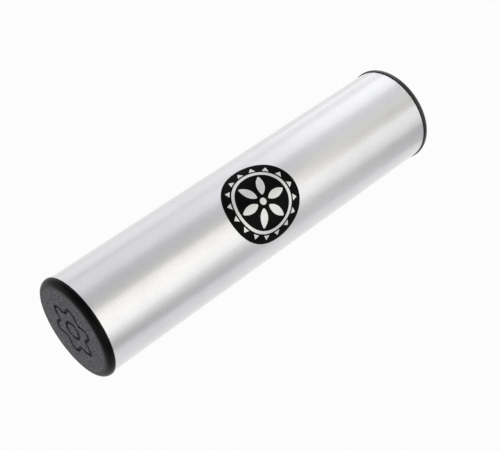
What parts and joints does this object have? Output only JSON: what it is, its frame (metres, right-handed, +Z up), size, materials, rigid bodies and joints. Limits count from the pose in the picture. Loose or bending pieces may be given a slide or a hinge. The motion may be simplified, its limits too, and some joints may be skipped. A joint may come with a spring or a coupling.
{
  "type": "ganza shaker",
  "caption": "Ganza shaker: a straight satin aluminium tube closed by black push-in plug caps, with a round black label and loose steel shot that slides and swirls inside.",
  "frame": {"origin": "on the surface that the shaker lies on, under the middle of the tube", "axes": "+X along the tube from the front cap to the rear cap, +Z up, the label on the top turned towards -Y"},
  "size_m": [0.2116, 0.051, 0.051],
  "materials": {
    "tube": "satin, bead-blasted and clear anodised",
    "caps": "moulded, fine spark texture on the face, smooth rim",
    "label": "gloss vinyl",
    "shot": "polished bearing-grade steel"
  },
  "bodies": {
    "shell": {"tube": "tube", "front_cap": "caps", "rear_cap": "caps", "label": "label"},
    "shot_core": {"shot_core": "shot"},
    "shot_row_1": {"shot_row_1": "shot"},
    "shot_row_2": {"shot_row_2": "shot"},
    "shot_row_3": {"shot_row_3": "shot"},
    "shot_row_4": {"shot_row_4": "shot"},
    "shot_row_5": {"shot_row_5": "shot"},
    "shot_row_6": {"shot_row_6": "shot"},
    "shot_row_7": {"shot_row_7": "shot"},
    "shot_row_8": {"shot_row_8": "shot"}
  },
  "joints": [
    {"name": "shot_swirl", "type": "hinge", "parent": "shell", "child": "shot_core", "pos_m": [0, 0, 0.0255], "axis": [1, 0, 0], "continuous": true},
    {"name": "row_1_slide", "type": "slide", "parent": "shot_core", "child": "shot_row_1", "axis": [1, 0, 0], "range_m": [-0.0387, 0.0413]},
    {"name": "row_2_slide", "type": "slide", "parent": "shot_core", "child": "shot_row_2", "axis": [1, 0, 0], "range_m": [-0.0413, 0.0387]},
    {"name": "row_3_slide", "type": "slide", "parent": "shot_core", "child": "shot_row_3", "axis": [1, 0, 0], "range_m": [-0.0387, 0.0413]},
    {"name": "row_4_slide", "type": "slide", "parent": "shot_core", "child": "shot_row_4", "axis": [1, 0, 0], "range_m": [-0.0413, 0.0387]},
    {"name": "row_5_slide", "type": "slide", "parent": "shot_core", "child": "shot_row_5", "axis": [1, 0, 0], "range_m": [-0.0387, 0.0413]},
    {"name": "row_6_slide", "type": "slide", "parent": "shot_core", "child": "shot_row_6", "axis": [1, 0, 0], "range_m": [-0.0413, 0.0387]},
    {"name": "row_7_slide", "type": "slide", "parent": "shot_core", "child": "shot_row_7", "axis": [1, 0, 0], "range_m": [-0.0512, 0.0512]},
    {"name": "row_8_slide", "type": "slide", "parent": "shot_core", "child": "shot_row_8", "axis": [1, 0, 0], "range_m": [-0.0512, 0.0512]}
  ]
}
